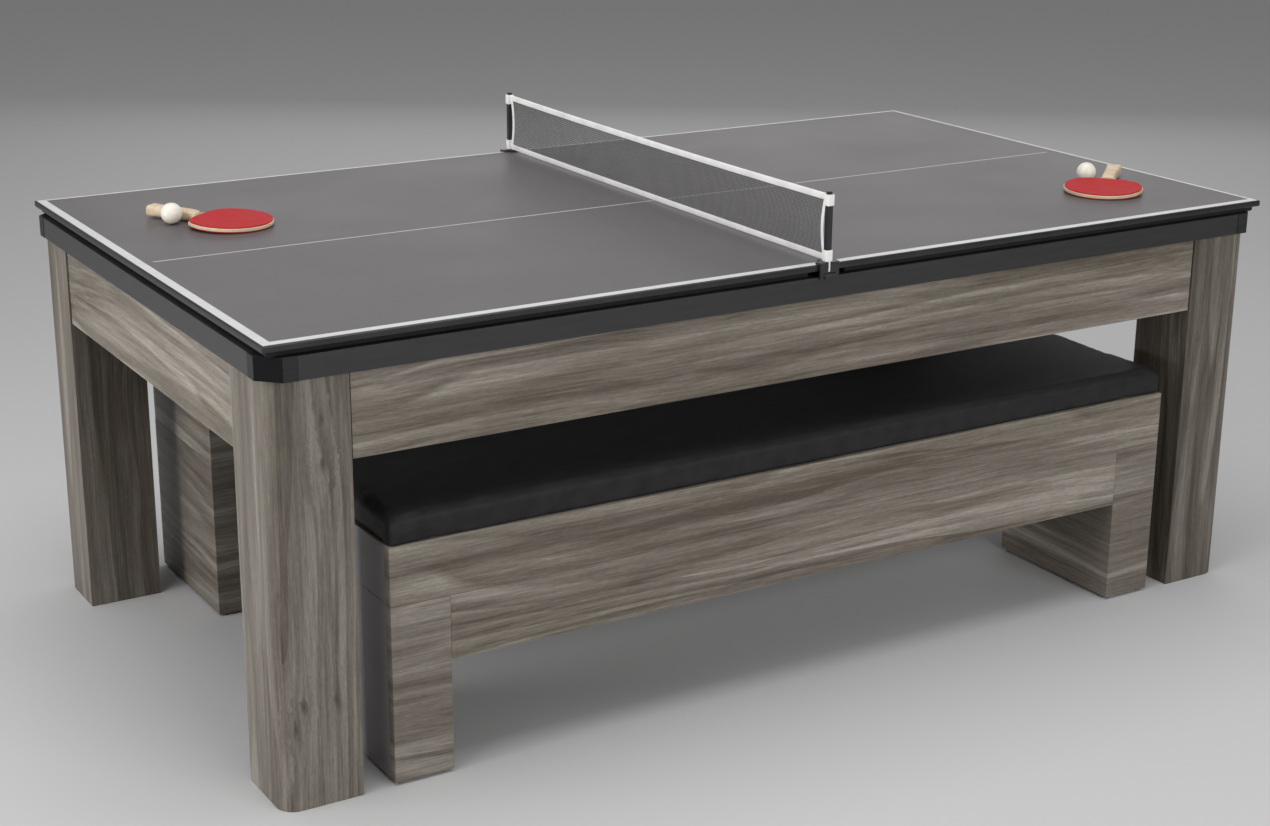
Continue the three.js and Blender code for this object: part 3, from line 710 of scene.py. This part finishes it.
def make_pads():
    """Foam strips under the halves, a little full between their glued and resting faces."""
    foam = foam_look()
    for side, turn in (("left", 1.0), ("right", -1.0)):
        low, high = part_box(f"top_pad_{side}")
        half_x, half_y = max(-low.x, high.x), high.y
        stop = min(abs(low.x), abs(high.x))
        wide, tall = PAD_WIDE, high.z - low.z
        middle_z = (low.z + high.z) / 2
        profile = [(a - wide / 2, middle_z + b) for a, b in rounded_rect(wide / 2, tall / 2, 0.0035, 5)]

        def build(bm, turn=turn, half_x=half_x, half_y=half_y, stop=stop, profile=profile):
            wrap_half(bm, turn, half_x, half_y, stop, profile)

        piece = new_object(f"foam_pad_{side}", build, foam, 60.0)
        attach(piece, "tennis_top")
        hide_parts(f"top_pad_{side}")


# ---------------------------------------------------------------- net
def net_side(share, sign):
    """Distance along Y of the net's side edge at a share of its height: it bows in between the sleeves."""
    return sign * (NET_HALF_Y - 0.003 - SIDE_BOW * math.sin(math.pi * share))


def net_edge(y, top):
    """Height of the middle of the upper or lower tape at y, sagging a little between the posts."""
    sag = NET_SAG * (1 - (y / NET_HALF_Y) ** 2)
    return NET_TOP - TOP_TAPE / 2 - sag if top else NET_LOW + LOW_TAPE / 2 - 0.3 * sag


def net_point(u, v):
    """A point of the net's sheet, u along it and v up it."""
    y = net_side(v, -1) + (net_side(v, 1) - net_side(v, -1)) * u
    ripple = 0.0012 * math.sin(9.0 * y + 2.0) * math.sin(math.pi * v)
    low, high = net_edge(y, False), net_edge(y, True)
    return Vector((NET_X + ripple, y, low + (high - low) * v))


def strand(bm, points):
    """A four-sided thread through the points."""
    half = STRAND / 2
    rings = []
    out = Vector((half, 0, 0))
    for index, at in enumerate(points):
        way = points[min(len(points) - 1, index + 1)] - points[max(0, index - 1)]
        across = way.cross(Vector((1, 0, 0))).normalized() * half
        rings.append([at + across + out, at - across + out, at - across - out, at + across - out])
    ring_tube(bm, rings)


def build_net_mesh(bm):
    wide, tall = 2 * NET_HALF_Y, NET_TOP - NET_LOW - TOP_TAPE
    columns, rows = round(wide / MESH_PITCH), round(tall / MESH_PITCH)
    for i in range(1, columns):
        strand(bm, [net_point(i / columns, v / 4) for v in range(5)])
    for j in range(1, rows):
        strand(bm, [net_point(u / 60, j / rows) for u in range(61)])


def build_sleeve(bm, sign, z0, z1):
    """Cloth sleeve round the post, open above and below, and the tie to the tape."""
    outer, inner = POST_HALF + 0.0019, POST_HALF + 0.0004
    rings = []
    for z, half in ((z0, outer), (z0 + 0.002, outer + 0.0002), (z1 - 0.002, outer + 0.0002), (z1, outer)):
        rings.append((z, half, 0.0022))
    for z in (z1, z0):
        rings.append((z, inner, 0.0008))
    made = []
    for z, half, radius in rings:
        outline = rounded_rect(half, half, radius, 3)
        made.append([Vector((NET_X + a, sign * POST_Y + b, z)) for a, b in outline])
    rows = ring_tube(bm, made, caps=False)
    first, last = rows[0], rows[-1]
    for i in range(len(first)):
        j = (i + 1) % len(first)
        bm.faces.new((last[i], last[j], first[j], first[i]))
    inside, outside = NET_HALF_Y - 0.006, POST_Y - inner - 0.0008
    tie = rounded_rect(0.0015, (outside - inside) / 2, 0.0008, 2)
    centre = sign * (inside + outside) / 2
    levels = (z0 + 0.001, z1 - 0.001)
    ring_tube(bm, [[Vector((NET_X + a, centre + b, z)) for a, b in tie] for z in levels])


def build_tape(bm, top):
    steps = 48
    half = (TOP_TAPE if top else LOW_TAPE) / 2
    rings = []
    for i in range(steps + 1):
        y = -NET_HALF_Y + 2 * NET_HALF_Y * i / steps
        z = net_edge(y, top)
        wave = 0.0004 * noise.noise(Vector((y * 14, z * 9, 2.0)))
        outline = rounded_rect(0.0013, half, 0.0011, 3)
        rings.append([Vector((NET_X + a + wave, y, z + b)) for a, b in outline])
    ring_tube(bm, rings)


def build_net_tapes(bm):
    build_tape(bm, True)
    build_tape(bm, False)
    low, high = net_edge(NET_HALF_Y, False), net_edge(NET_HALF_Y, True)
    for sign in (-1, 1):
        rings = []
        for i in range(17):
            share = i / 16
            y = net_side(share, sign) + sign * 0.002
            z = low + (high - low) * share
            rings.append([Vector((NET_X + a, y + b, z)) for a, b in rounded_rect(0.0011, 0.0042, 0.0009, 2)])
        ring_tube(bm, rings)
        build_sleeve(bm, sign, NET_LOW, NET_LOW + SLEEVE)
        build_sleeve(bm, sign, NET_TOP - SLEEVE, NET_TOP)
        strap = rounded_rect(0.0024, 0.0007, 0.0005, 2)
        y = sign * (POST_Y + POST_HALF + 0.0011)
        ring_tube(bm, [[Vector((NET_X + a, y + b, z)) for a, b in strap] for z in STRAP_Z])


def make_net():
    mesh = new_object("net_mesh", build_net_mesh, webbing_look("net_strands", (0.085, 0.085, 0.087)))
    tapes = new_object("net_tapes", build_net_tapes, webbing_look("net_tape", (0.80, 0.79, 0.77)))
    for piece in (mesh, tapes):
        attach(piece, "tennis_top")
    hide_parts("net")
    metal = plastic_look("clamp_black", (0.016, 0.016, 0.017), 0.32)
    for side in ("front", "rear"):
        dress(f"net_post_{side}", metal, 0.0006)
        dress(f"net_clip_{side}", metal, 0.0005)


# ---------------------------------------------------------------- bats and balls
def bat_outline(shrink=0.0, steps=72):
    """Round blade with straight shoulders to the neck; the handle leaves along +X."""
    shoulder = math.radians(SHOULDER)
    points = []
    for i in range(steps + 1):
        angle = shoulder + (2 * math.pi - 2 * shoulder) * i / steps
        radius = BLADE_R - shrink
        points.append((radius * math.cos(angle), radius * BLADE_SQUASH * math.sin(angle)))
    points.append((NECK_X - shrink, -NECK_HALF + shrink * 0.5))
    points.append((NECK_X - shrink, NECK_HALF - shrink * 0.5))
    return points


def slab(bm, outline, z0, z1, round_=0.0006):
    """A flat plate with softened rims."""
    levels = [(z0, round_), (z0 + round_, 0.0), (z1 - round_, 0.0), (z1, round_)]
    corners = [Vector(point) for point in outline]
    centre = sum(corners, Vector((0, 0))) / len(corners)
    rings = []
    for z, inset in levels:
        ring = []
        for corner in corners:
            way = corner - centre
            way = way * (1 - inset / max(way.length, 1e-6)) + centre
            ring.append(Vector((way.x, way.y, z)))
        rings.append(ring)
    ring_tube(bm, rings)


def build_bat_blade(bm):
    handle = [(0.088, 0.0125), (0.168, 0.0120)]
    tail = [(x, -y) for x, y in handle] + [(x, y) for x, y in handle[::-1]]
    outline = bat_outline()
    slab(bm, outline[:-1] + tail + outline[-1:], -HALF_PLY, HALF_PLY, 0.0007)


def build_bat_rubber(bm, side):
    """One rubber sheet, a rim's width inside the blade and cut in a shallow curve before the handle."""
    cut_at, bow = 0.8 * BLADE_R, 2.2
    dense = []
    outline = [Vector(point) for point in bat_outline(0.002)]
    for a, b in zip(outline, outline[1:] + outline[:1]):
        pieces = max(1, round((b - a).length / 0.006))
        dense += [a.lerp(b, k / pieces) for k in range(pieces)]
    trimmed = [(min(point.x, cut_at - bow * point.y ** 2), point.y) for point in dense]
    low = HALF_PLY + 0.0001 if side > 0 else -HALF_PLY - 0.0001 - RUBBER
    slab(bm, trimmed, low, low + RUBBER, 0.0004)


# the grip's sections: distance along the handle, half width, half thickness
GRIP = [
    (0.0722, 0.0120, 0.0060), (0.0760, 0.0130, 0.0090), (0.0900, 0.0132, 0.0104), (0.1250, 0.0134, 0.0105),
    (0.1550, 0.0140, 0.0105), (0.1700, 0.0156, 0.0105), (0.1765, 0.0164, 0.0103), (0.1780, 0.0150, 0.0090),
]


def build_bat_grip(bm):
    rings = []
    for x, half_wide, half_thick in GRIP:
        outline = rounded_rect(half_wide, half_thick, min(0.0065, half_thick * 0.8), 5)
        rings.append([Vector((x, a, b)) for a, b in outline])
    ring_tube(bm, rings)


def make_bats():
    rubber = rubber_look()
    blade_wood, grip_wood = ply_look("bat_blade_wood", True), ply_look("bat_grip_wood", False)
    for name, (x, y, degrees) in BAT_SPOTS.items():
        parts = [
            new_object(f"bat_{name}_blade", build_bat_blade, blade_wood),
            new_object(f"bat_{name}_rubber_upper", lambda bm: build_bat_rubber(bm, 1), rubber),
            new_object(f"bat_{name}_rubber_lower", lambda bm: build_bat_rubber(bm, -1), rubber),
            new_object(f"bat_{name}_grip", build_bat_grip, grip_wood),
        ]
        lean = Matrix.Rotation(math.radians(-BAT_LEAN), 4, "Y")
        lowest = min((lean @ v.co).z for part in parts for v in part.data.vertices)
        place = Matrix.Translation((x, y, TABLE_TOP_Z + REST_GAP - lowest))
        place = place @ Matrix.Rotation(math.radians(degrees), 4, "Z") @ lean
        for part in parts:
            part.matrix_world = place
            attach(part, f"bat_{name}")
        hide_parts(f"bat_{name}")


def make_balls():
    material = ball_look()
    for name in ("left", "right"):
        low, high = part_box(f"ball_{name}")
        centre = (low + high) / 2

        def build(bm, centre=centre):
            place = Matrix.Translation(centre)
            bmesh.ops.create_icosphere(bm, subdivisions=5, radius=BALL_R, matrix=place)

        ball = new_object(f"ball_{name}_shell", build, material, 180.0)
        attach(ball, f"ball_{name}")
        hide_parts(f"ball_{name}")


# ---------------------------------------------------------------- seats
SEAT_INSET = 0.003
SEAT_VOXEL = 0.005
SEAT_SHOULDER = 0.008
SEAT_SPREAD = 0.005
SEAT_SWELL = 0.007
SEAT_CROWN = 0.004
SEAT_FRAMES = 20
# how far the seat's ends and long sides are pulled in at their middles
SEAT_END_PULL, SEAT_SIDE_PULL = 0.0015, 0.0030
# how far the top drops towards its ends, and besides at the outer and inner corners
SEAT_END_DROP, SEAT_OUTER_DROP, SEAT_INNER_DROP = 0.0020, 0.0065, 0.0015


def seat_block(low, high):
    """The seat's starting form, inside its CAD solid: upright sides, a rounded shoulder and a flat top."""
    top = high.z - SEAT_CROWN
    levels = [(low.z, 0.0), (top - SEAT_SHOULDER, 0.0)]
    for step in range(1, 6):
        angle = math.radians(18 * step)
        levels.append((top - SEAT_SHOULDER * (1 - math.sin(angle)), SEAT_SHOULDER * (1 - math.cos(angle))))
    middle = (low + high) / 2
    half_x, half_y = (high.x - low.x) / 2 - SEAT_INSET, (high.y - low.y) / 2 - SEAT_INSET

    def build(bm):
        rings = []
        for z, inset in levels:
            outline = rounded_rect(half_x - inset, half_y - inset, 0.008, 4)
            rings.append([Vector((middle.x + a, middle.y + b, z)) for a, b in outline])
        ring_tube(bm, rings)

    return build


def bake(obj):
    """Applies every modifier on obj."""
    graph = bpy.context.evaluated_depsgraph_get()
    graph.update()
    mesh = bpy.data.meshes.new_from_object(obj.evaluated_get(graph), depsgraph=graph)
    obj.modifiers.clear()
    obj.data = mesh


def puff(obj):
    """Inflates a closed mesh as cloth with pressure and no gravity, and caps how far each point moves."""
    add_modifier(obj, "REMESH", mode="VOXEL", voxel_size=SEAT_VOXEL)
    bake(obj)
    rest = [v.co.copy() for v in obj.data.vertices]
    cloth = add_modifier(obj, "CLOTH")
    settings = cloth.settings
    settings.use_pressure = True
    settings.uniform_pressure_force = 4.0
    settings.quality = 5
    settings.mass = 0.3
    settings.tension_stiffness = settings.compression_stiffness = 30
    settings.bending_stiffness = 2.0
    settings.effector_weights.gravity = 0.0
    cloth.point_cache.frame_start, cloth.point_cache.frame_end = 1, SEAT_FRAMES
    scene = bpy.context.scene
    for step in range(1, SEAT_FRAMES + 1):
        scene.frame_set(step)
    bake(obj)
    scene.frame_set(1)
    for vert, start in zip(obj.data.vertices, rest):
        move = vert.co - start
        if move.length > SEAT_SWELL:
            vert.co = start + move.normalized() * SEAT_SWELL


def smooth_share(value, full):
    """0 at 0, 1 at full and beyond, with a soft start and end."""
    share = max(0.0, min(1.0, value / full))
    return share * share * (3 - 2 * share)


def settle_seat(obj, low, high):
    """Flat on its board, upholstered sides kept upright, pulled in a little between full corners."""
    middle = (low + high) / 2
    half = (high - low) / 2
    for vert in obj.data.vertices:
        co = vert.co
        lift = smooth_share(co.z - low.z, 0.03)
        for axis, other, pull in ((0, 1, SEAT_END_PULL), (1, 0, SEAT_SIDE_PULL)):
            away = (co[other] - middle[other]) / half[other]
            limit = half[axis] - 0.0004 - pull * (1 - away ** 4) * (0.4 + 0.6 * lift)
            aside = (co[axis] - middle[axis]) * (1 + SEAT_SPREAD / half[axis])
            co[axis] = middle[axis] + max(-limit, min(limit, aside))
        corner_x = 1 - smooth_share(half.x - abs(co.x - middle.x), 0.06)
        corner_y = 1 - smooth_share(half.y - abs(co.y - middle.y), 0.05)
        corner_drop = SEAT_OUTER_DROP if co.y < middle.y else SEAT_INNER_DROP
        drop = SEAT_END_DROP * corner_x + corner_drop * corner_x * corner_y
        co.z -= drop * lift
        co.z = max(low.z, min(high.z + 0.0015, co.z))


def make_seats():
    leather = leather_look()
    low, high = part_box("bench_front_seat")
    front = new_object("bench_front_cushion", seat_block(low, high), leather)
    puff(front)
    settle_seat(front, low, high)
    add_modifier(front, "SUBSURF", levels=1, render_levels=1)
    bake(front)
    front.data.materials.clear()
    front.data.materials.append(leather)
    front.data.shade_smooth()
    rear = bpy.data.objects.new("bench_rear_cushion", front.data.copy())
    bpy.context.scene.collection.objects.link(rear)
    rear.data.transform(Matrix.Rotation(math.pi, 4, "Z"))
    for side, seat in (("front", front), ("rear", rear)):
        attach(seat, f"bench_{side}")
        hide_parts(f"bench_{side}_seat")


# ---------------------------------------------------------------- stage
def make_camera():
    heading, pitch, roll = (math.radians(a) for a in (HEADING, PITCH, ROLL))
    ahead = Vector((math.sin(heading), math.cos(heading), 0.0))
    forward = ahead * math.cos(pitch) + Vector((0.0, 0.0, math.sin(pitch)))
    level = Vector((math.cos(heading), -math.sin(heading), 0.0))
    upright = level.cross(forward)
    right = level * math.cos(roll) + upright * math.sin(roll)
    up = upright * math.cos(roll) - level * math.sin(roll)
    data = bpy.data.cameras.new("camera")
    data.lens, data.sensor_width = LENS_MM, SENSOR_MM
    data.clip_end = 200.0
    camera = bpy.data.objects.new("camera", data)
    camera.matrix_world = Matrix.Translation(CAMERA_AT) @ Matrix((right, up, -forward)).transposed().to_4x4()
    bpy.context.scene.collection.objects.link(camera)
    bpy.context.scene.camera = camera


def make_floor():
    def build(bm):
        bmesh.ops.create_grid(bm, x_segments=8, y_segments=8, size=60.0)

    floor = new_object("floor", build, floor_look())
    floor.location.z = FLOOR_Z


def area_light(name, place, aim, size, watts):
    data = bpy.data.lights.new(name, "AREA")
    data.shape, data.size, data.size_y = "RECTANGLE", size[0], size[1]
    data.energy = watts
    light = bpy.data.objects.new(name, data)
    light.location = place
    light.rotation_mode = "QUATERNION"
    light.rotation_quaternion = (Vector(aim) - Vector(place)).to_track_quat("-Z", "Y")
    bpy.context.scene.collection.objects.link(light)


def make_lights():
    area_light("key", (-4.0, -1.5, 4.3), (0, 0, 0.5), (2.4, 2.4), 60)
    area_light("left", (-4.8, 0.1, 1.0), (0, 0, 0.4), (2.8, 1.4), 125)
    area_light("overhead", (0.0, -0.2, 4.6), (0, 0, 0), (4.5, 4.0), 130)
    area_light("front", (0.4, -5.4, 2.3), (0, 0, 0.2), (4.0, 1.4), 132)
    area_light("back", (3.0, 4.5, 2.0), (0, 0, 0.8), (6.0, 2.0), 30)
    world = bpy.data.worlds.new("studio")
    world.use_nodes = True
    background = world.node_tree.nodes["Background"]
    background.inputs["Color"].default_value = (0.80, 0.80, 0.81, 1.0)
    background.inputs["Strength"].default_value = 0.36
    bpy.context.scene.world = world
    bpy.context.scene.view_settings.view_transform = "Standard"


make_camera()
make_floor()
make_lights()
dress_table()
dress_tennis_top()
dress_benches()
make_rail_cushions()
make_bands()
make_pads()
make_net()
make_bats()
make_balls()
make_seats()
